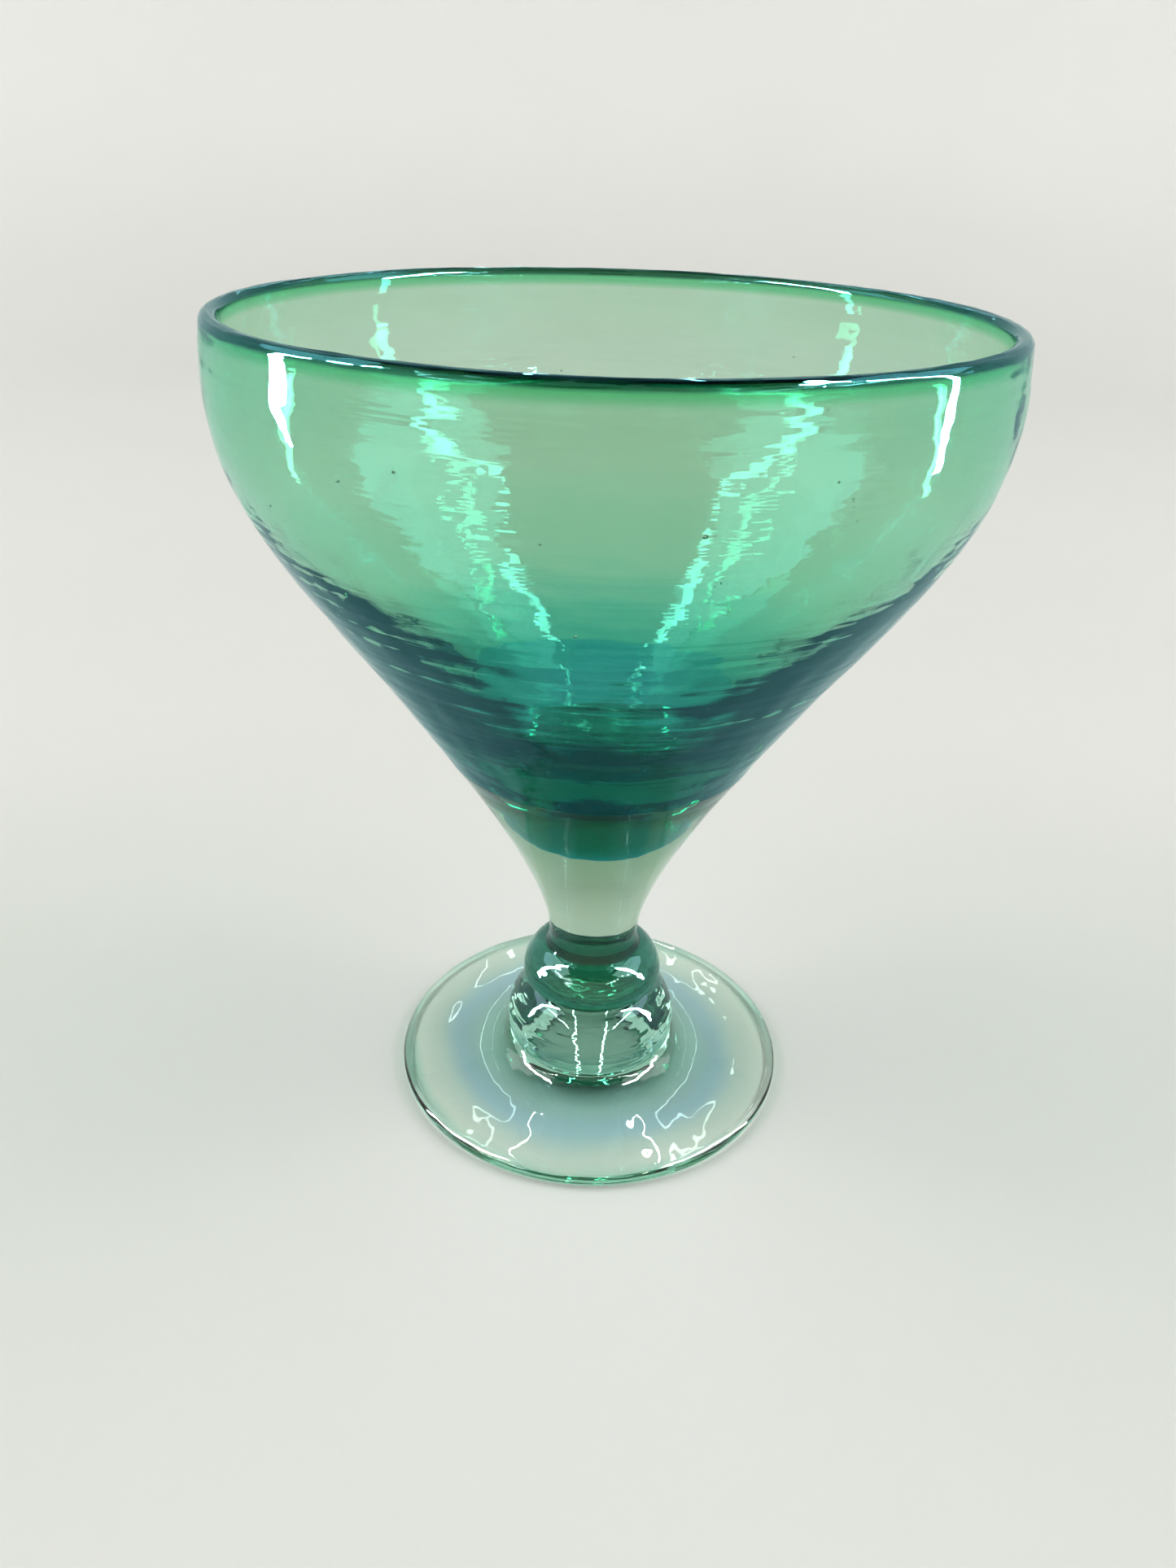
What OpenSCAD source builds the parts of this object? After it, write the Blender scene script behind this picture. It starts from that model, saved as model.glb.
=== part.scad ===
// Hand-blown cocktail glass: a green bowl on a short clear stem with two knops and a round foot.
// Millimetres, +Z up. The origin is the centre of the resting face under the foot.
// Every piece is hot glass joined to the next one at a shared face, so all outlines meet exactly.

/* [Foot] */
// Diameter of the foot
foot_d = 68; // [60:1:76]
// Thickness of the foot at its rounded edge
foot_edge_t = 2.4; // [1.8:0.1:3]
// Height of the foot where the lower knop sits on it
foot_top_z = 6.2; // [5.4:0.1:6.8]
// Width of the flat ring that the glass rests on
rest_ring_w = 7; // [4:0.5:12]
// Height of the hollow under the middle of the foot
kick_up = 0.9; // [0.3:0.1:1.4]
// Diameter of the ground mark left by the punty rod
punty_d = 15; // [10:1:18]
// Depth of that ground mark
punty_depth = 0.4; // [0.2:0.1:0.8]

/* [Knops] */
// Largest diameter of the lower knop
lower_knop_d = 29.8; // [28:0.2:32]
// Height at which the lower knop is widest
lower_knop_z = 9; // [8:0.5:10]
// Diameter of the seat between the lower knop and the foot
seat_d = 29; // [27.4:0.2:29.4]
// Diameter of the groove between the two knops
groove_d = 21.4; // [19:0.2:23]
// Height of that groove
groove_z = 16.8; // [16:0.2:17.4]
// Largest diameter of the upper knop
upper_knop_d = 24.2; // [23.4:0.2:26]
// Height at which the upper knop is widest
upper_knop_z = 19.4; // [18.8:0.1:20]
// Height at which the stem stands in the upper knop
stem_seat_z = 24.8; // [24:0.1:25.4]
// Diameter of the stem at that seat
stem_seat_d = 16.6; // [16:0.2:17.4]

/* [Stem] */
// Smallest diameter of the stem
neck_d = 15.4; // [14:0.2:16]
// Height of the smallest diameter
neck_z = 27.2; // [26.6:0.2:28]
// Height that the clear gather reaches on the outside of the bowl
gather_z = 64; // [62:0.5:68]
// Thickness of the gather at its upper edge
gather_edge_t = 0.4; // [0.2:0.1:0.8]

/* [Bowl] */
// Overall height of the glass
glass_h = 128.4; // [124:0.2:132]
// Largest outside diameter, a little below the lip
bowl_d = 108.6; // [102:0.2:112]
// Height of the largest diameter
belly_z = 119.4; // [116:0.2:120]
// Diameter at the middle of the rounded lip
lip_d = 104.8; // [99:0.2:106]
// Thickness of the rounded lip
lip_t = 2.7; // [2.2:0.1:3.2]
// Wall thickness at the widest part
wall_t = 2.5; // [2:0.1:3]
// Height of the floor inside the bowl
floor_z = 60.4; // [59:0.2:62]
// Diameter of the floor inside the bowl
floor_d = 22; // [18:0.5:24]
// Diameter of the solid green base under the floor
base_d = 17.6; // [16:0.2:19]
// Height of the lowest point of the solid green base
base_z = 49.6; // [48:0.2:51]

/* [Hidden] */
$fn = 128;
steps = 20;

// Where the conical part of the bowl turns into its rounded wall, outside and inside
cone_out = [31.7, 74.8];
cone_in = [31.9, 82];
// Radius gained per millimetre of height on the cone, outside and inside
cone_out_slope = 0.66;
cone_in_slope = 0.78;
// How far the floor inside the bowl is dished
floor_dish = 0.6;
// Height above the floor at which the wall leaves it
heel_h = 1.6;

// Points of a cubic curve from a to d, leaving towards b and arriving from c
function curve(a, b, c, d) = [for (i = [0:steps])
    let (t = i / steps, u = 1 - t) u * u * u * a + 3 * u * u * t * b + 3 * u * t * t * c + t * t * t * d];

// Points of an arc of radius r about c, from angle a0 to angle a1
function arc(c, r, a0, a1) = [for (i = [0:steps])
    let (a = a0 + (a1 - a0) * i / steps) c + r * [cos(a), sin(a)]];

// Unit direction along a slope of radius over height
function along(slope) = [slope, 1] / norm([slope, 1]);

// The same points in the opposite order, and an outline's points above or below a height
function back(pts) = [for (i = [len(pts) - 1:-1:0]) pts[i]];
function above(pts, z) = [for (p = pts) if (p[1] > z) p];
function below(pts, z) = [for (p = pts) if (p[1] < z) p];
function radius_at(pts, z) = lookup(z, [for (p = pts) [p[1], p[0]]]);

// Outside of the drawn cone, from the neck up to the start of the rounded wall
neck = [neck_d / 2, neck_z];
CONE = curve(neck, neck + [0, 12], cone_out - 13.5 * along(cone_out_slope), cone_out);

// Outside of the rounded wall, up to its widest part
belly = [bowl_d / 2, belly_z];
WALL = curve(cone_out, cone_out + 24 * along(cone_out_slope), belly - [0, 14.8], belly);

// Rounded lip, with a short curve leading into it from each side
lip_c = [lip_d / 2, glass_h - lip_t / 2];
LIP = arc(lip_c, lip_t / 2, 0, 180);
lip_out = lip_c + [lip_t / 2, 0];
lip_in = lip_c - [lip_t / 2, 0];
LIP_OUT = curve(belly, belly + [0, 3], lip_out - [-0.3, 2.6], lip_out);

// Inside of the bowl, from the lip down to the floor
belly_in = belly - [wall_t, 1.4];
heel = [floor_d / 2 + 1.4, floor_z + heel_h];
LIP_IN = curve(lip_in, lip_in - [0, 2.6], belly_in + [0, 3], belly_in);
WALL_IN = curve(belly_in, belly_in - [0, 14], cone_in + 18 * along(cone_in_slope), cone_in);
CONE_IN = curve(cone_in, cone_in - 9 * along(cone_in_slope), heel + 6 * along(1.2), heel);
FLOOR = curve(heel, heel - 1.2 * along(1.2), [floor_d / 3, floor_z], [0, floor_z - floor_dish]);

// Joint face between the green base and the clear gather around it
gather_edge = [radius_at(CONE, gather_z) - gather_edge_t, gather_z];
base_r = base_d / 2;
base_side = [base_r, base_z + base_r * 0.85];
BASE = concat(
    curve([0, base_z], [base_r * 0.6, base_z], base_side - [0, base_r * 0.5], base_side),
    curve(base_side, base_side + [0, 2.4], gather_edge - 7 * along(1.4), gather_edge));

// Side of each knop, from its lower joint to its upper joint
function knop(seat_r, seat_z, wide_r, wide_z, top_r, top_z) = concat(
    curve([seat_r, seat_z], [seat_r + (wide_r - seat_r) * 0.7, seat_z + (wide_z - seat_z) * 0.35],
        [wide_r, wide_z - (wide_z - seat_z) * 0.4], [wide_r, wide_z]),
    curve([wide_r, wide_z], [wide_r, wide_z + (top_z - wide_z) * 0.45],
        [top_r + (wide_r - top_r) * 0.45, top_z - (top_z - wide_z) * 0.12], [top_r, top_z]));

// Solid of revolution of an outline whose first and last points lie on the axis
module turned(outline) {
    rotate_extrude() polygon(outline);
}

module bowl() {
    color([0.25, 0.66, 0.47, 0.6])
    turned(concat(BASE, [[radius_at(CONE, gather_z), gather_z]], above(CONE, gather_z),
        WALL, LIP_OUT, LIP, LIP_IN, WALL_IN, CONE_IN, FLOOR));
}

module stem() {
    seat = [stem_seat_d / 2, stem_seat_z];
    color([0.72, 0.82, 0.76, 0.5])
    turned(concat([[0, stem_seat_z]], curve(seat, seat + [-0.3, 0.6], neck - [0, 1], neck),
        below(CONE, gather_z), [[radius_at(CONE, gather_z), gather_z]], back(BASE)));
}

module upper_knop() {
    color([0.29, 0.58, 0.52, 0.6])
    turned(concat([[0, groove_z]],
        knop(groove_d / 2, groove_z, upper_knop_d / 2, upper_knop_z, stem_seat_d / 2, stem_seat_z),
        [[0, stem_seat_z]]));
}

module lower_knop() {
    color([0.5, 0.7, 0.62, 0.5])
    turned(concat([[0, foot_top_z]],
        knop(seat_d / 2, foot_top_z, lower_knop_d / 2, lower_knop_z, groove_d / 2, groove_z),
        [[0, groove_z]]));
}

module foot() {
    edge_r = foot_edge_t / 2;
    edge_c = [foot_d / 2 - edge_r, edge_r];
    seat = [seat_d / 2, foot_top_z];
    shoulder = edge_c + [0, edge_r];
    ring_in = edge_c[0] - rest_ring_w;
    punty_r = punty_d / 2;
    UNDER = curve([punty_r, kick_up], [ring_in * 0.6, kick_up], [ring_in * 0.8, 0.1], [ring_in, 0]);
    TOP = curve(shoulder, shoulder + [-9, 0.3], seat + [1.2, -3.4], seat);
    color([0.66, 0.82, 0.78, 0.45])
    turned(concat([[0, kick_up + punty_depth], [punty_r - 1, kick_up + punty_depth]], UNDER,
        arc(edge_c, edge_r, -90, 90), TOP, [[0, foot_top_z]]));
}

bowl();
stem();
upper_knop();
lower_knop();
foot();
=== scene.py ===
"""Hand-blown cocktail glass: a green bowl on a clear stem, two knops and a round foot.

Each piece is one closed body of glass, spun from its outline, rippled as hot glass is by the tools,
and joined to the next one at a face that light passes straight through.
"""
import random
from math import cos, pi, radians, sin

import bmesh
import bpy
from mathutils import Matrix, Vector, noise


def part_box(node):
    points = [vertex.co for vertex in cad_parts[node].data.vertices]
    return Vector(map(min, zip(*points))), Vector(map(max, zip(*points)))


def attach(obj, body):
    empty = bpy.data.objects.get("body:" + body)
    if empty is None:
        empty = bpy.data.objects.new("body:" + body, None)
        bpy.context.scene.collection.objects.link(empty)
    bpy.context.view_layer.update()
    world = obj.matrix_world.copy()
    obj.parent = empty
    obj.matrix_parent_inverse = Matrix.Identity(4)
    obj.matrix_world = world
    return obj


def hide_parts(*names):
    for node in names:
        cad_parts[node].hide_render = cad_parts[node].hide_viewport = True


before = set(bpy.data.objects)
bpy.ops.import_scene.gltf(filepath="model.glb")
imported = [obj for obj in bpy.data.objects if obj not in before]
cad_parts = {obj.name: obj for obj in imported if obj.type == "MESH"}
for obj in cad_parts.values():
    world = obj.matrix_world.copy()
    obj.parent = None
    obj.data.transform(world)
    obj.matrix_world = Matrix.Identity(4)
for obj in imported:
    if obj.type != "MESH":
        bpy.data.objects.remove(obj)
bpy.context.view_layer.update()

MM = 0.001


# ---------------------------------------------------------------- sizes, in millimetres

def extent(node):
    """Largest diameter, lowest and highest point of a node of the frame."""
    low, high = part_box(node)
    return (high[0] - low[0]) / MM, low[2] / MM, high[2] / MM


BOWL_D, BASE_Z, GLASS_H = extent("bowl")
_, STEM_SEAT_Z, GATHER_Z = extent("stem")
UPPER_KNOP_D, GROOVE_Z, _ = extent("upper_knop")
LOWER_KNOP_D, FOOT_TOP_Z, _ = extent("lower_knop")
FOOT_D, _, _ = extent("foot")

# Foot
FOOT_EDGE_T = 2.4
REST_RING_W = 7
KICK_UP = 0.9
PUNTY_D = 15
PUNTY_DEPTH = 0.4
SEAT_D = 29

# Knops
LOWER_KNOP_Z = 9
GROOVE_D = 21.4
UPPER_KNOP_Z = 19.4
STEM_SEAT_D = 16.6

# Stem and the gather of clear glass around the base of the bowl
NECK_D = 15.4
NECK_Z = STEM_SEAT_Z + 2.4
GATHER_EDGE_T = 0.4

# Bowl
BELLY_Z = GLASS_H - 9
LIP_D = BOWL_D - 3.8
LIP_T = 2.7
# Height of the band under the lip that painted shade darkens
LIP_SHADE_BAND = 4
WALL_T = 2.5
FLOOR_Z = BASE_Z + 10.8
FLOOR_D = 22
FLOOR_DISH = 0.6
HEEL_H = 1.6
BASE_D = 17.6
CONE_OUT = Vector((31.7, 74.8))
CONE_IN = Vector((31.9, 82))
CONE_OUT_SLOPE = 0.66
CONE_IN_SLOPE = 0.78

# Half of the gap left at a joint, so that two pieces never share a face
JOINT_GAP = 0.01
# Turn between two faces above which their edge stays sharp, in degrees
SHARP_TURN = 40
# Steps of one full turn on the wide and on the narrow pieces
WIDE_TURN = 256
NARROW_TURN = 160

# Seed bubbles in the wall of the bowl: how many, their sizes, and the seed of their places
BUBBLES = 46
BUBBLE_SIZES = (0.14, 0.18, 0.18, 0.24, 0.32)
BUBBLE_SEED = 7


# ---------------------------------------------------------------- outlines, as radius and height

def curve(a, b, c, d, steps):
    """Points of a cubic curve from a to d, leaving towards b and arriving from c."""
    points = []
    for i in range(steps + 1):
        t = i / steps
        u = 1 - t
        points.append(u * u * u * a + 3 * u * u * t * b + 3 * u * t * t * c + t * t * t * d)
    return points


def arc(centre, radius, start, end, steps=24):
    """Points of an arc, its angles in degrees."""
    turns = [radians(start + (end - start) * i / steps) for i in range(steps + 1)]
    return [centre + radius * Vector((cos(turn), sin(turn))) for turn in turns]


def along(slope):
    """Unit direction along a slope of radius over height."""
    return Vector((slope, 1)).normalized()


def at(radius, height):
    """Point of an outline."""
    return Vector((radius, height))


def radius_at(points, height):
    """Radius of a rising outline at a height."""
    for a, b in zip(points, points[1:]):
        if a.y <= height <= b.y:
            return a.x + (b.x - a.x) * (height - a.y) / (b.y - a.y)
    return points[-1].x


def moved_in(points, distance):
    """The same outline moved sideways, to its left as it runs."""
    moved = []
    for i, point in enumerate(points):
        run = points[min(i + 1, len(points) - 1)] - points[max(i - 1, 0)]
        side = Vector((-run.y, run.x)).normalized() * distance
        moved.append(at(max(point.x + side.x, 0), point.y + side.y))
    if points[0].x == 0:
        moved[0].x = 0
    return moved


# Outside of the drawn cone, from the neck up to the start of the bowl's rounded wall
neck = at(NECK_D / 2, NECK_Z)
CONE = curve(neck, neck + at(0, 12), CONE_OUT - 13.5 * along(CONE_OUT_SLOPE), CONE_OUT, 80)
RIM_R = radius_at(CONE, GATHER_Z)

# Joint face between the green base and the clear gather around it
gather_edge = at(RIM_R - GATHER_EDGE_T, GATHER_Z)
base_r = BASE_D / 2
base_side = at(base_r, BASE_Z + base_r * 0.85)
BASE = curve(at(0, BASE_Z), at(base_r * 0.6, BASE_Z), base_side - at(0, base_r * 0.5), base_side, 24)
BASE += curve(base_side, base_side + at(0, 2.4), gather_edge - 7 * along(1.4), gather_edge, 24)[1:]


def bowl_skin():
    """Outside of the wall from the gather's edge, over the lip and down to the floor inside."""
    belly = at(BOWL_D / 2, BELLY_Z)
    lip_c = at(LIP_D / 2, GLASS_H - LIP_T / 2)
    lip_out = lip_c + at(LIP_T / 2, 0)
    lip_in = lip_c - at(LIP_T / 2, 0)
    belly_in = belly - at(WALL_T, 1.4)
    heel = at(FLOOR_D / 2 + 1.4, FLOOR_Z + HEEL_H)
    skin = [at(RIM_R, GATHER_Z + JOINT_GAP)] + [point for point in CONE if point.y > GATHER_Z + 0.2]
    skin += curve(CONE_OUT, CONE_OUT + 24 * along(CONE_OUT_SLOPE), belly - at(0, 14.8), belly, 60)[1:]
    skin += curve(belly, belly + at(0, 3), lip_out - at(-0.3, 2.6), lip_out, 12)[1:]
    skin += arc(lip_c, LIP_T / 2, 0, 180)[1:]
    skin += curve(lip_in, lip_in - at(0, 2.6), belly_in + at(0, 3), belly_in, 12)[1:]
    skin += curve(belly_in, belly_in - at(0, 14), CONE_IN + 18 * along(CONE_IN_SLOPE), CONE_IN, 50)[1:]
    skin += curve(CONE_IN, CONE_IN - 9 * along(CONE_IN_SLOPE), heel + 6 * along(1.2), heel, 30)[1:]
    floor = at(0, FLOOR_Z - FLOOR_DISH)
    skin += curve(heel, heel - 1.2 * along(1.2), at(FLOOR_D / 3, FLOOR_Z), floor, 24)[1:]
    return skin


def bowl_joint():
    """Green base inside the gather, from its lowest point to the outside."""
    return moved_in(BASE, JOINT_GAP) + [at(RIM_R, GATHER_Z + JOINT_GAP)]


def stem_skin():
    """Side of the stem, from its seat on the upper knop to the gather's edge."""
    seat = at(STEM_SEAT_D / 2, STEM_SEAT_Z + JOINT_GAP)
    skin = curve(seat, seat + at(-0.3, 0.6), neck - at(0, 1), neck, 10)[:-1]
    skin += [point for point in CONE if point.y < GATHER_Z - 0.2]
    return skin + [at(RIM_R, GATHER_Z - JOINT_GAP)]


def stem_joint():
    """Cup in the gather that holds the green base, from the outside to its lowest point."""
    return [at(RIM_R, GATHER_Z - JOINT_GAP)] + moved_in(BASE, -JOINT_GAP)[::-1]


def knop(seat_r, seat_z, wide_r, wide_z, top_r, top_z):
    """Side of a knop, from its lower joint to its upper joint."""
    low = seat_z + JOINT_GAP
    high = top_z - JOINT_GAP
    rise = top_z - wide_z
    swell = wide_z - seat_z
    side = curve(at(seat_r, low), at(seat_r + (wide_r - seat_r) * 0.7, seat_z + swell * 0.35),
                 at(wide_r, wide_z - swell * 0.4), at(wide_r, wide_z), 28)
    side += curve(at(wide_r, wide_z), at(wide_r, wide_z + rise * 0.45),
                  at(top_r + (wide_r - top_r) * 0.45, top_z - rise * 0.12), at(top_r, high), 36)[1:]
    return side


def face(radius, height, rings=12):
    """Flat face of a joint, from its edge to the axis."""
    return [at(radius * (1 - i / rings), height) for i in range(rings + 1)]


def foot_skin():
    """Underside of the foot, its rounded edge and its top, from the axis to the seat of the knop."""
    edge_r = FOOT_EDGE_T / 2
    edge_c = at(FOOT_D / 2 - edge_r, edge_r)
    shoulder = edge_c + at(0, edge_r)
    seat = at(SEAT_D / 2, FOOT_TOP_Z - JOINT_GAP)
    ring_in = edge_c.x - REST_RING_W
    punty_r = PUNTY_D / 2
    ground = KICK_UP + PUNTY_DEPTH
    skin = face(punty_r - 1, ground, 8)[::-1]
    ring = at(ring_in, 0)
    skin += curve(at(punty_r, KICK_UP), at(ring_in * 0.6, KICK_UP), at(ring_in * 0.8, 0.1), ring, 30)
    skin += [at(ring_in + (edge_c.x - ring_in) * i / 8, 0) for i in range(1, 8)]
    skin += arc(edge_c, edge_r, -90, 90)
    skin += curve(shoulder, shoulder + at(-9, 0.3), seat + at(1.2, -3.4), seat, 60)[1:]
    return skin


# ---------------------------------------------------------------- bodies of glass

def smooth_step(value, low, high):
    """0 below low and 1 above high, with a smooth rise between them."""
    t = min(max((value - low) / (high - low), 0), 1)
    return t * t * (3 - 2 * t)


def spin_outline(bm, outline, steps, joint):
    """Spin an outline through an eighth of a turn and mark its faces as joint faces or as skin."""
    mark = bm.faces.layers.float["joint"]
    known = set(bm.faces)
    points = [bm.verts.new((point.x * MM, 0, point.y * MM)) for point in outline]
    edges = [bm.edges.new(pair) for pair in zip(points, points[1:])]
    bmesh.ops.spin(bm, geom=points + edges, cent=(0, 0, 0), axis=(0, 0, 1), dvec=(0, 0, 0),
                   angle=pi / 4, steps=steps // 8, use_merge=False, use_duplicate=False)
    for part in bm.faces:
        if part not in known:
            part[mark] = joint


def close_turn(bm):
    """Copy an eighth of a turn round to the full turn and join the copies."""
    for turn in (pi / 4, pi / 2, pi):
        copy = bmesh.ops.duplicate(bm, geom=bm.verts[:] + bm.edges[:] + bm.faces[:])
        verts = [part for part in copy["geom"] if isinstance(part, bmesh.types.BMVert)]
        bmesh.ops.rotate(bm, verts=verts, cent=(0, 0, 0), matrix=Matrix.Rotation(turn, 3, "Z"))
    bmesh.ops.remove_doubles(bm, verts=bm.verts, dist=0.001 * MM)
    bmesh.ops.recalc_face_normals(bm, faces=bm.faces)


def ripple(bm, depth, size, low, high):
    """Sink the skin by a soft pattern of hollows, fading out at the joints above and below."""
    mark = bm.faces.layers.float["joint"]
    bm.normal_update()
    moves = []
    for vert in bm.verts:
        if any(part[mark] > 0.5 for part in vert.link_faces):
            continue
        height = vert.co.z / MM
        fade = smooth_step(height, low, low + 3) * (1 - smooth_step(height, high - 3, high))
        place = vert.co / MM + vert.normal * 2.5 * size
        hollow = noise.fractal(place / size, 0.6, 2.2, 3) * 0.5 + 0.5
        moves.append((vert, vert.normal * -depth * MM * fade * min(max(hollow, 0), 1)))
    for vert, move in moves:
        vert.co += move


def seed_bubbles(bm, places):
    """Small pockets of air shut in the glass: their faces look into the air."""
    mark = bm.faces.layers.float["joint"]
    for place, radius in places:
        known = set(bm.faces)
        ball = bmesh.ops.create_icosphere(bm, subdivisions=2, radius=radius * MM,
                                          matrix=Matrix.Translation(place * MM))
        stretch = Matrix.Diagonal((1.0, 1.0, 0.7))
        bmesh.ops.transform(bm, matrix=stretch.to_4x4(), space=Matrix.Translation(place * -MM),
                            verts=ball["verts"])
        fresh = [part for part in bm.faces if part not in known]
        for part in fresh:
            part[mark] = 0
        bmesh.ops.reverse_faces(bm, faces=fresh)


def bubble_places(low, high):
    """Scattered places between two heights, in the middle of the bowl's wall, with their radii."""
    chance = random.Random(BUBBLE_SEED)
    places = []
    for _ in range(BUBBLES):
        height = chance.uniform(low, high)
        angle = radians(chance.uniform(0, 360))
        radius = wall_middle(height)
        size = chance.choice(BUBBLE_SIZES)
        places.append((Vector((radius * cos(angle), radius * sin(angle), height)), size))
    return places


def wall_middle(height):
    """Radius of the middle of the bowl's wall at a height."""
    skin = bowl_skin()
    top = max(range(len(skin)), key=lambda i: skin[i].y)
    return (radius_at(skin[:top], height) + radius_at(skin[top:][::-1], height)) / 2


def glass_body(name, skin, joints, steps, waves, finish, bubbles=()):
    """One closed piece of glass from its outlines, riding on the frame in place of its node."""
    bm = bmesh.new()
    mark = bm.faces.layers.float.new("joint")
    spin_outline(bm, skin, steps, 0)
    for outline in joints:
        spin_outline(bm, outline, steps, 1)
    close_turn(bm)
    ripple(bm, *waves)
    seed_bubbles(bm, bubbles)
    for part in bm.faces:
        part.smooth = True
    for edge in bm.edges:
        sides = [part[mark] for part in edge.link_faces]
        if len(sides) == 2 and (sides[0] != sides[1] or edge.calc_face_angle(0) > radians(SHARP_TURN)):
            edge.smooth = False
    mesh = bpy.data.meshes.new(name)
    bm.to_mesh(mesh)
    bm.free()
    mesh.materials.append(finish)
    piece = bpy.data.objects.new(name, mesh)
    bpy.context.scene.collection.objects.link(piece)
    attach(piece, "root")
    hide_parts(name)


# ---------------------------------------------------------------- finishes

WHITE = (1, 1, 1)
GLASS_INDEX = 1.5
# Roughness of the fire-polished skin, and how much a faint smear adds to it
POLISHED = 0.002
SMEARED = 0.02


class Value:
    """A number that changes over a surface, so that plain sums on it add Math nodes."""

    def __init__(self, finish, socket):
        self.finish = finish
        self.socket = socket

    def sum(self, operation, *terms):
        """One Math node, with the terms in order on its inputs."""
        settings = {"operation": operation}
        return self.finish.node("ShaderNodeMath", settings, dict(enumerate(terms)))

    def __add__(self, other):
        return self.sum("ADD", self, other)

    def __radd__(self, other):
        return self.sum("ADD", other, self)

    def __sub__(self, other):
        return self.sum("SUBTRACT", self, other)

    def __rsub__(self, other):
        return self.sum("SUBTRACT", other, self)

    def __mul__(self, other):
        return self.sum("MULTIPLY", self, other)

    def __truediv__(self, other):
        return self.sum("DIVIDE", self, other)

    def __pow__(self, other):
        return self.sum("POWER", self, other)

    def step(self, low, high):
        """0 below low and 1 above high, with a smooth rise between them."""
        sockets = {"Value": self, "From Min": low, "From Max": high, "To Min": 0, "To Max": 1}
        settings = {"interpolation_type": "SMOOTHSTEP"}
        return self.finish.node("ShaderNodeMapRange", settings, sockets)


class Finish:
    """A material under construction."""

    def __init__(self, name):
        self.material = bpy.data.materials.new(name)
        self.material.use_nodes = True
        self.tree = self.material.node_tree
        self.tree.nodes.clear()
        self.output = self.tree.nodes.new("ShaderNodeOutputMaterial")

    def node(self, kind, settings=None, sockets=None, out=0):
        """Add a node: its settings first, then the values or links of its sockets."""
        node = self.tree.nodes.new(kind)
        for key, value in (settings or {}).items():
            if key == "stops":
                self.stops(node.color_ramp, value)
            else:
                setattr(node, key, value)
        for key, value in (sockets or {}).items():
            if isinstance(value, Value):
                self.tree.links.new(value.socket, node.inputs[key])
            else:
                node.inputs[key].default_value = value
        return Value(self, node.outputs[out])

    def stops(self, ramp, stops):
        """Give a colour ramp its places and colours."""
        while len(ramp.elements) < len(stops):
            ramp.elements.new(1)
        for element, (place, colour) in zip(ramp.elements, stops):
            element.position = place
            element.color = (*colour, 1)

    def axes(self):
        """Object coordinates in millimetres, as one vector and as x, y and z."""
        place = self.node("ShaderNodeTexCoord", out="Object")
        vector = self.node("ShaderNodeVectorMath", {"operation": "SCALE"}, {0: place, "Scale": 1 / MM})
        parts = [self.node("ShaderNodeSeparateXYZ", None, {0: vector}, out=i) for i in range(3)]
        return vector, parts

    def mottle(self, vector, stretch, detail, shift=0.0):
        """Noise from 0 to 1, its marks as long as stretch says along each axis."""
        scale = tuple(1 / length for length in stretch)
        moved = {"Vector": vector, "Location": (shift,) * 3, "Scale": scale}
        place = self.node("ShaderNodeMapping", None, moved)
        sockets = {"Vector": place, "Scale": 1.0, "Detail": detail, "Roughness": 0.5}
        return self.node("ShaderNodeTexNoise", None, sockets)

    def mix(self, share, first, second):
        """Blend two colours."""
        return self.node("ShaderNodeMix", {"data_type": "RGBA"}, {0: share, 6: first, 7: second}, out=2)

    def close(self, surface, volume=None):
        """Put the surface and the volume on the output, and give back the material."""
        self.tree.links.new(surface.socket, self.output.inputs["Surface"])
        if volume:
            self.tree.links.new(volume.socket, self.output.inputs["Volume"])
        return self.material


def rgb(r, g, b):
    """Opaque colour."""
    return (r, g, b, 1)


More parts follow.
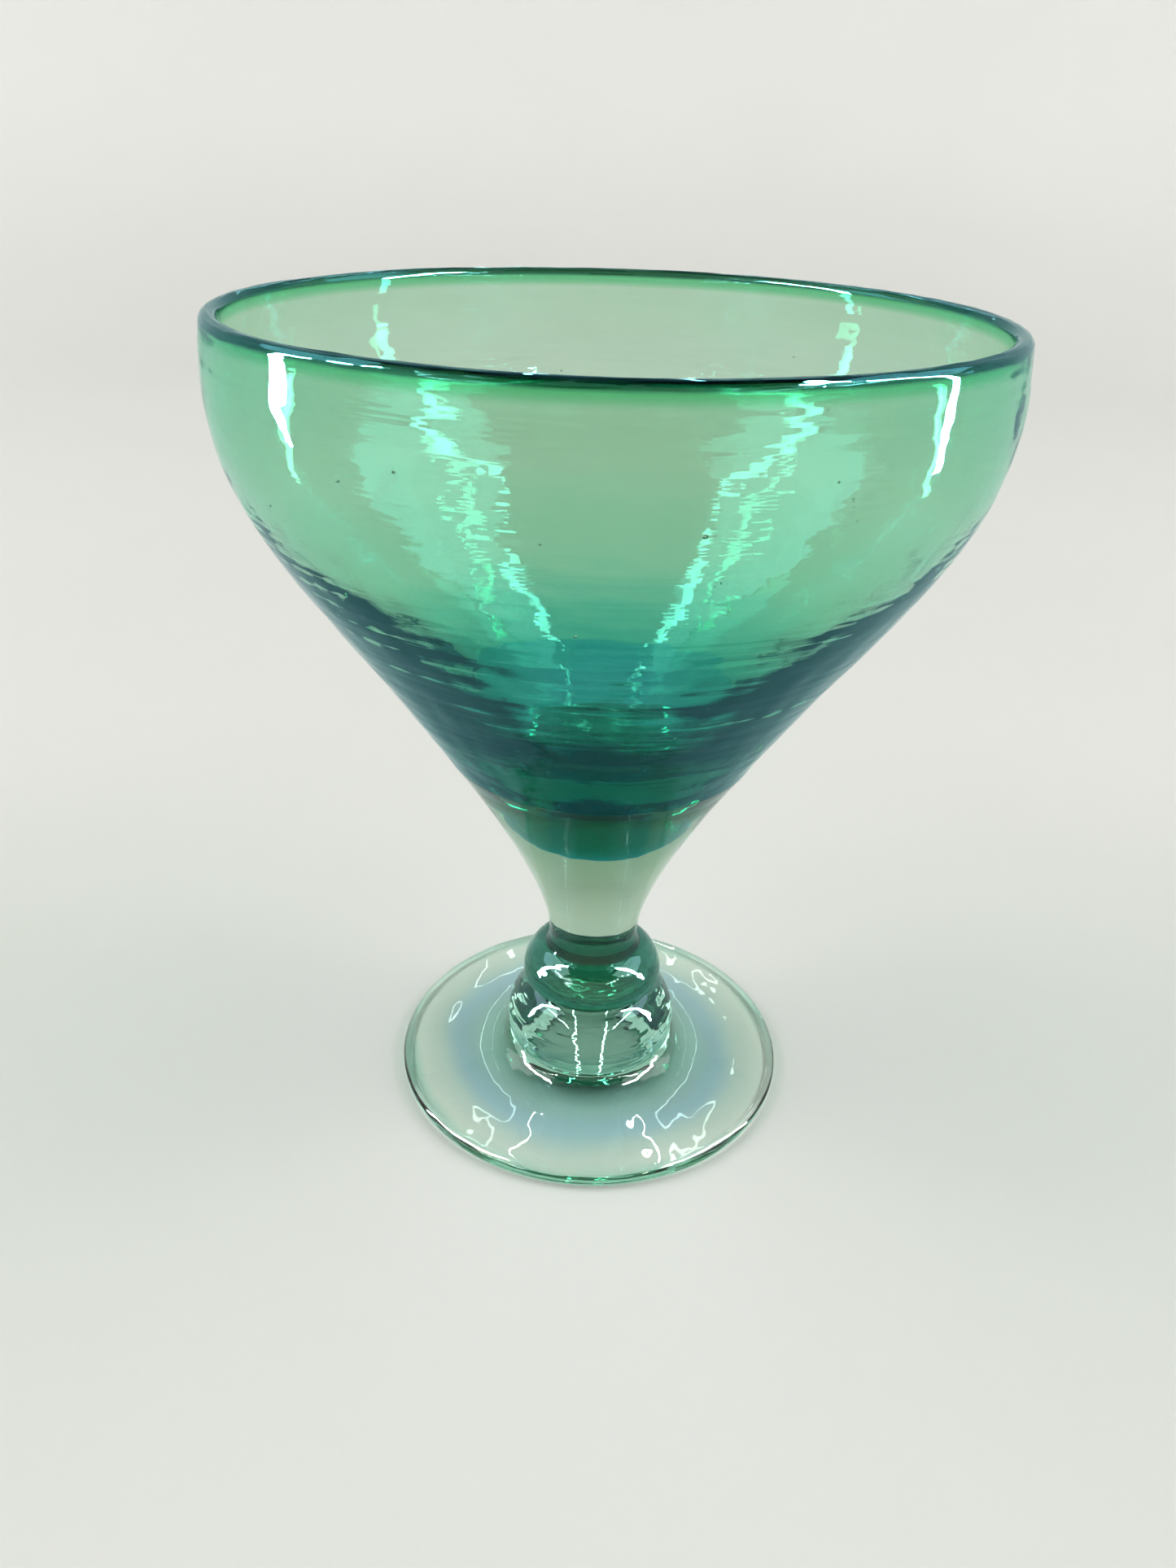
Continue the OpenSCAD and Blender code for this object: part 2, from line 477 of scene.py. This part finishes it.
def glass_finish(name, tints, reach, depth, density, film, tooling, joint_shade=WHITE, lip=None, sheen=WHITE):
    """Blown glass: tints that follow its height or its radius, colour by depth, and tool marks around it.

    The film is its thickness in nanometres and its index. The tint of the joint faces is painted shade
    that darkens what is seen through them, the lip a second row of tints, painted shade over the lip's
    band, and the sheen the tint of the reflections.
    """
    finish = Finish(name)
    vector, (x, y, z) = finish.axes()
    radius = (x * x + y * y) ** 0.5
    drift = finish.mottle(vector, (30, 30, 12), detail=3.0, shift=4.0) - 0.5
    start, end = reach["span"]
    share = ((radius if reach["by"] == "radius" else z) - start) / (end - start) + drift * reach["drift"]
    tint = finish.node("ShaderNodeValToRGB", {"stops": tints}, {0: share})
    # Painted shade: the lip's row of tints darkens the band under the lip
    if lip:
        band = (z - (GLASS_H - LIP_SHADE_BAND)) / LIP_SHADE_BAND
        edge = finish.node("ShaderNodeValToRGB", {"stops": lip}, {0: band})
        tint = finish.node("ShaderNodeMix", {"data_type": "RGBA", "blend_type": "MULTIPLY"},
                           {0: 1.0, 6: tint, 7: edge}, out=2)

    bands = finish.mottle(vector, (30, 30, tooling["pitch"]), detail=1.0, shift=1.0)
    lines = finish.mottle(vector, (16, 16, tooling["pitch"] * 0.3), detail=1.0, shift=6.0)
    waves = finish.mottle(vector, (12, 12, 7), detail=1.0, shift=9.0)
    height = bands * tooling["bands"] + lines * tooling["lines"] + waves * tooling["waves"]
    normal = finish.node("ShaderNodeBump", None, {"Strength": 1.0, "Distance": MM, "Height": height})

    smears = finish.mottle(vector, (9, 9, 20), detail=3.0, shift=14.0).step(0.56, 0.8)
    roughness = POLISHED + smears * SMEARED

    sockets = {
        "Base Color": tint, "Roughness": roughness, "IOR": GLASS_INDEX, "Transmission Weight": 1.0,
        "Normal": normal, "Thin Film Thickness": film[0], "Thin Film IOR": film[1],
        "Specular Tint": rgb(*sheen),
    }
    glass = finish.node("ShaderNodeBsdfPrincipled", None, sockets)
    # The joint faces let light straight through; their tint is painted shade that darkens the glass seen
    # through them
    clear = finish.node("ShaderNodeBsdfTransparent", None, {"Color": rgb(*joint_shade)})
    joint = finish.node("ShaderNodeAttribute", {"attribute_name": "joint"}, out="Fac")
    surface = finish.node("ShaderNodeMixShader", None, {0: joint, 1: glass, 2: clear})
    volume = finish.node("ShaderNodeVolumeAbsorption", None, {"Color": depth, "Density": density})
    return finish.close(surface, volume)


def green_glass():
    """Green all through, deeper and bluer towards the base, partly its own colour and partly a painted
    dark blue reflection, with painted shade darkening the lip.
    """
    # Deeper and bluer towards the base: partly the glass's own colour, partly a painted dark blue
    # reflection
    tints = [(0.0, (0.22, 0.70, 0.84)), (0.14, (0.42, 0.82, 0.86)), (0.30, (0.84, 0.96, 0.91)),
             (0.60, (0.96, 0.98, 0.92)), (1.0, (1.0, 0.99, 0.94))]
    # Painted shade over the lip's band: it runs dark at the very top of the rim
    lip = [(0.0, WHITE), (0.25, WHITE), (0.45, (0.45, 0.86, 0.60)), (0.64, (0.26, 0.78, 0.44)),
           (0.74, (0.02, 0.07, 0.045)), (1.0, (0.01, 0.03, 0.02))]
    reach = {"by": "height", "span": (GATHER_Z, GLASS_H), "drift": 0.05}
    tooling = {"pitch": 2.3, "bands": 0.12, "lines": 0.012, "waves": 0.08}
    # Painted shade: the joint faces' tint darkens and blues the solid base seen through them
    return glass_finish("green_glass", tints, reach, rgb(0.13, 0.72, 0.44), 245, (250, 1.6), tooling,
                        joint_shade=(0.20, 0.74, 0.98), lip=lip, sheen=(0.24, 0.76, 0.80))


def clear_gather():
    """Clear, with a grey-green cast."""
    tints = [(0.0, (0.90, 0.95, 0.90)), (0.5, (0.94, 0.97, 0.93)), (1.0, (0.90, 0.96, 0.94))]
    reach = {"by": "height", "span": (STEM_SEAT_Z, GATHER_Z), "drift": 0.3}
    tooling = {"pitch": 2.0, "bands": 0.03, "lines": 0.012, "waves": 0.08}
    return glass_finish("clear_gather", tints, reach, rgb(0.30, 0.58, 0.36), 58, (250, 1.58), tooling,
                        sheen=(0.7, 0.9, 0.85))


def teal_knop_glass():
    """Dark teal, streaked around the knop."""
    tints = [(0.0, (0.34, 0.70, 0.70)), (0.4, (0.22, 0.56, 0.44)), (0.7, (0.46, 0.78, 0.72)),
             (1.0, (0.66, 0.90, 0.88))]
    reach = {"by": "height", "span": (GROOVE_Z, STEM_SEAT_Z), "drift": 1.1}
    tooling = {"pitch": 1.0, "bands": 0.07, "lines": 0.01, "waves": 0.12}
    return glass_finish("teal_knop_glass", tints, reach, rgb(0.08, 0.58, 0.44), 300, (240, 1.62), tooling,
                        sheen=(0.8, 0.95, 0.95))


def pale_knop_glass():
    """Pale green, darker where the knop sits on the foot, a painted reflection of the dark upper knop."""
    # Painted reflection: the lowest tints darken the knop where it sits on the foot
    tints = [(0.0, (0.20, 0.50, 0.40)), (0.25, (0.52, 0.80, 0.70)), (0.55, (0.80, 0.94, 0.87)),
             (1.0, (0.70, 0.90, 0.86))]
    reach = {"by": "height", "span": (FOOT_TOP_Z, GROOVE_Z), "drift": 0.5}
    tooling = {"pitch": 1.2, "bands": 0.11, "lines": 0.008, "waves": 0.10}
    return glass_finish("pale_knop_glass", tints, reach, rgb(0.25, 0.70, 0.48), 54, (240, 1.6), tooling,
                        sheen=(0.8, 0.95, 0.95))


def foot_glass():
    """Nearly clear aqua, with a teal patch round the knop and a faint blue ring that are painted
    reflection, of the lustre and of dark surroundings.
    """
    # Painted reflection: teal near the knop and a blue ring out towards the edge
    tints = [(0.0, (0.54, 0.80, 0.74)), (0.44, (0.56, 0.79, 0.74)), (0.58, (0.66, 0.82, 0.80)),
             (0.70, (0.64, 0.82, 0.88)), (0.80, (0.80, 0.91, 0.86)), (0.93, (0.92, 0.97, 0.92)),
             (1.0, (0.62, 0.88, 0.78))]
    reach = {"by": "radius", "span": (0, FOOT_D / 2), "drift": 0.30}
    tooling = {"pitch": 1.6, "bands": 0.012, "lines": 0.004, "waves": 0.10}
    return glass_finish("foot_glass", tints, reach, rgb(0.30, 0.80, 0.66), 14, (0, 1.6), tooling)


# ---------------------------------------------------------------- studio

# Floor and wall of the tent, in millimetres, with the floor a hair below the foot
WALL_R = 1200
COVE_R = 500
WALL_H = 1100
FLOOR_DROP = 0.1
# Brightness of the tent's wall, all round and on the camera's side
TENT_GLOW = 0.13
TENT_FRONT = 0.0
# Big soft box on each side: its place and size in metres and its power in watts
SIDE_PLACE = (0.95, 0, 0.85)
SIDE_AIM = (0, 0, 0.05)
SIDE_SIZE = (1.2, 0.8)
SIDE_POWER = 8.9
# Tube lights of the right-hand side: lower end, upper end and width in metres, power in watts
STRIPS = {
    "strip": ((0.37, 0, 0.02), (0.15, -0.05, 0.35), 0.018, 24),
    "thin_strip": ((0.43, 0, 0.04), (0.20, -0.05, 0.38), 0.006, 7),
    "front_strip": ((0.30, -0.08, 0.24), (0.22, -0.40, 0.26), 0.004, 0.8),
    "top_strip": ((0.055, 0.22, 0.42), (0.055, 0.75, 0.42), 0.004, 0.22),
}
STRIP_AIM = Vector((0, 0, 0.08))
# Strength of the room above the tent, in front and behind
ROOM_FRONT = 0.06
ROOM_BEHIND = 0.45
# Camera: lens and sensor in millimetres, place in metres, turns in degrees
LENS = 27.03
SENSOR = 36
EYE = (0, -0.1685, 0.1482)
HEADING = 0.575
LOOK_DOWN = 28.82
ROLL = 1.773
# Most bounces of light through the glass, and between shiny faces
THROUGH_GLASS = 32
BETWEEN_FACES = 12


def paper():
    """Matt pale paper, glowing on the wall except on the camera's side."""
    finish = Finish("sweep_paper")
    vector, (_, y, z) = finish.axes()
    grain = finish.mottle(vector, (160, 160, 160), detail=3)
    colour = finish.mix(grain, rgb(0.76, 0.762, 0.735), rgb(0.80, 0.802, 0.775))
    front = (y / -WALL_R).step(0.45, 0.85)
    glow = z.step(-60, 200) * (TENT_GLOW - front * (TENT_GLOW - TENT_FRONT))
    sockets = {"Base Color": colour, "Roughness": 1.0, "Specular IOR Level": 0.0,
               "Emission Color": rgb(1, 1, 0.975), "Emission Strength": glow}
    surface = finish.node("ShaderNodeBsdfPrincipled", None, sockets)
    material = finish.close(surface)
    material.cycles.emission_sampling = "NONE"
    return material


def sweep():
    """Pale floor that curves up into the glowing wall of a light tent."""
    bm = bmesh.new()
    outline = [at(0, 0), at(WALL_R - COVE_R, 0)]
    outline += arc(at(WALL_R - COVE_R, COVE_R), COVE_R, -90, 0)[1:]
    outline += [at(WALL_R, WALL_H)]
    points = [bm.verts.new((point.x * MM, 0, (point.y - FLOOR_DROP) * MM)) for point in outline]
    edges = [bm.edges.new(pair) for pair in zip(points, points[1:])]
    bmesh.ops.spin(bm, geom=points + edges, cent=(0, 0, 0), axis=(0, 0, 1), dvec=(0, 0, 0),
                   angle=2 * pi, steps=96, use_merge=True, use_duplicate=False)
    bmesh.ops.remove_doubles(bm, verts=bm.verts, dist=0.01 * MM)
    bmesh.ops.recalc_face_normals(bm, faces=bm.faces)
    bmesh.ops.reverse_faces(bm, faces=bm.faces)
    for part in bm.faces:
        part.smooth = True
    mesh = bpy.data.meshes.new("sweep")
    bm.to_mesh(mesh)
    bm.free()
    mesh.materials.append(paper())
    stage = bpy.data.objects.new("sweep", mesh)
    bpy.context.scene.collection.objects.link(stage)


def area_light(name, place, aim, size, power):
    """Rectangular light that faces the point it is aimed at."""
    light = bpy.data.lights.new(name, "AREA")
    light.shape = "RECTANGLE"
    light.size, light.size_y = size
    light.energy = power
    lamp = bpy.data.objects.new(name, light)
    lamp.location = place
    lamp.rotation_euler = (Vector(aim) - Vector(place)).to_track_quat("-Z", "Y").to_euler()
    lamp.visible_camera = False
    bpy.context.scene.collection.objects.link(lamp)
    return lamp


def only_in_glass(light):
    """Let a light show in the glass and its reflections, but not on or through the pale floor."""
    light.use_nodes = True
    nodes, links = light.node_tree.nodes, light.node_tree.links
    path = nodes.new("ShaderNodeLightPath")
    first = nodes.new("ShaderNodeMath")
    first.operation = "LESS_THAN"
    first.inputs[1].default_value = 0.5
    links.new(path.outputs["Diffuse Depth"], first.inputs[0])
    links.new(first.outputs[0], nodes["Emission"].inputs["Strength"])


def strip_light(name, low, high, width, power):
    """Narrow tube light between two points, facing the glass."""
    middle = (low + high) / 2
    lamp = area_light(name, middle, STRIP_AIM, (width, (high - low).length), power)
    back = (middle - STRIP_AIM).normalized()
    up = (high - low).normalized()
    side = up.cross(back).normalized()
    lamp.rotation_euler = Matrix((side, up, side.cross(up))).transposed().to_euler()
    lamp.visible_diffuse = False
    only_in_glass(lamp.data)


def lights():
    """The soft box and the strips of each side."""
    for side in (-1, 1):
        mirror = Matrix.Diagonal((side, 1, 1))
        area_light("side_box", mirror @ Vector(SIDE_PLACE), SIDE_AIM, SIDE_SIZE, SIDE_POWER)
        for name, (low, high, width, power) in STRIPS.items():
            strip_light(name, mirror @ Vector(low), mirror @ Vector(high), width, power)


def surroundings():
    """Dim room above the tent, a little brighter behind the glass."""
    world = bpy.data.worlds.new("studio")
    bpy.context.scene.world = world
    world.use_nodes = True
    nodes, links = world.node_tree.nodes, world.node_tree.links
    place = nodes.new("ShaderNodeTexCoord")
    axes = nodes.new("ShaderNodeSeparateXYZ")
    behind = nodes.new("ShaderNodeMapRange")
    behind.interpolation_type = "SMOOTHSTEP"
    rise = {"From Min": 0.1, "From Max": 0.6, "To Min": ROOM_FRONT, "To Max": ROOM_BEHIND}
    for key, value in rise.items():
        behind.inputs[key].default_value = value
    links.new(place.outputs["Generated"], axes.inputs[0])
    links.new(axes.outputs["Y"], behind.inputs["Value"])
    links.new(behind.outputs[0], nodes["Background"].inputs["Strength"])
    nodes["Background"].inputs["Color"].default_value = rgb(1, 1, 0.97)


def camera():
    """Close view from a little above the rim, looking down."""
    lens = bpy.data.cameras.new("camera")
    lens.lens = LENS
    lens.sensor_width = SENSOR
    lens.clip_start = 0.01
    eye = bpy.data.objects.new("camera", lens)
    heading = Matrix.Rotation(radians(HEADING), 4, "Z")
    pitch = Matrix.Rotation(pi / 2 - radians(LOOK_DOWN), 4, "X")
    roll = Matrix.Rotation(radians(ROLL), 4, "Z")
    eye.matrix_world = Matrix.Translation(EYE) @ heading @ pitch @ roll
    bpy.context.scene.collection.objects.link(eye)
    bpy.context.scene.camera = eye


def picture():
    """Enough bounces for the glass, and no blurring of the light that comes through it onto the floor."""
    scene = bpy.context.scene
    scene.view_settings.view_transform = "Standard"
    scene.cycles.max_bounces = THROUGH_GLASS
    scene.cycles.transmission_bounces = THROUGH_GLASS
    scene.cycles.glossy_bounces = BETWEEN_FACES
    scene.cycles.transparent_max_bounces = THROUGH_GLASS
    scene.cycles.blur_glossy = 0


# ---------------------------------------------------------------- the glass
# Each piece's waves are the depth and the size of its ripples and the heights between which they run.

def bowl():
    """Green blown bowl with its solid base and a few seed bubbles in the wall."""
    bubbles = bubble_places(GATHER_Z + 2, GLASS_H - 10)
    waves = (0.22, 16, GATHER_Z, GLASS_H + 3)
    glass_body("bowl", bowl_skin(), [bowl_joint()], WIDE_TURN, waves, green_glass(), bubbles)


def stem():
    """Clear gather that holds the base of the bowl and is drawn down to the neck."""
    joints = [stem_joint(), face(STEM_SEAT_D / 2, STEM_SEAT_Z + JOINT_GAP)]
    waves = (0.12, 9, STEM_SEAT_Z, GATHER_Z)
    glass_body("stem", stem_skin(), joints, NARROW_TURN, waves, clear_gather())


def upper_knop():
    """Teal bead under the stem."""
    skin = knop(GROOVE_D / 2, GROOVE_Z, UPPER_KNOP_D / 2, UPPER_KNOP_Z, STEM_SEAT_D / 2, STEM_SEAT_Z)
    joints = [face(GROOVE_D / 2, GROOVE_Z + JOINT_GAP), face(STEM_SEAT_D / 2, STEM_SEAT_Z - JOINT_GAP)]
    waves = (0.15, 6, GROOVE_Z, STEM_SEAT_Z)
    glass_body("upper_knop", skin, joints, NARROW_TURN, waves, teal_knop_glass())


def lower_knop():
    """Wider, paler bulge that runs into the foot."""
    skin = knop(SEAT_D / 2, FOOT_TOP_Z, LOWER_KNOP_D / 2, LOWER_KNOP_Z, GROOVE_D / 2, GROOVE_Z)
    joints = [face(SEAT_D / 2, FOOT_TOP_Z + JOINT_GAP), face(GROOVE_D / 2, GROOVE_Z - JOINT_GAP)]
    waves = (0.15, 7, FOOT_TOP_Z, GROOVE_Z)
    glass_body("lower_knop", skin, joints, NARROW_TURN, waves, pale_knop_glass())


def foot():
    """Round foot that the glass rests on."""
    joints = [face(SEAT_D / 2, FOOT_TOP_Z - JOINT_GAP)]
    waves = (0.12, 9, 0, FOOT_TOP_Z + 3)
    glass_body("foot", foot_skin(), joints, WIDE_TURN, waves, foot_glass())


camera()
picture()
surroundings()
lights()
sweep()

bowl()
stem()
upper_knop()
lower_knop()
foot()
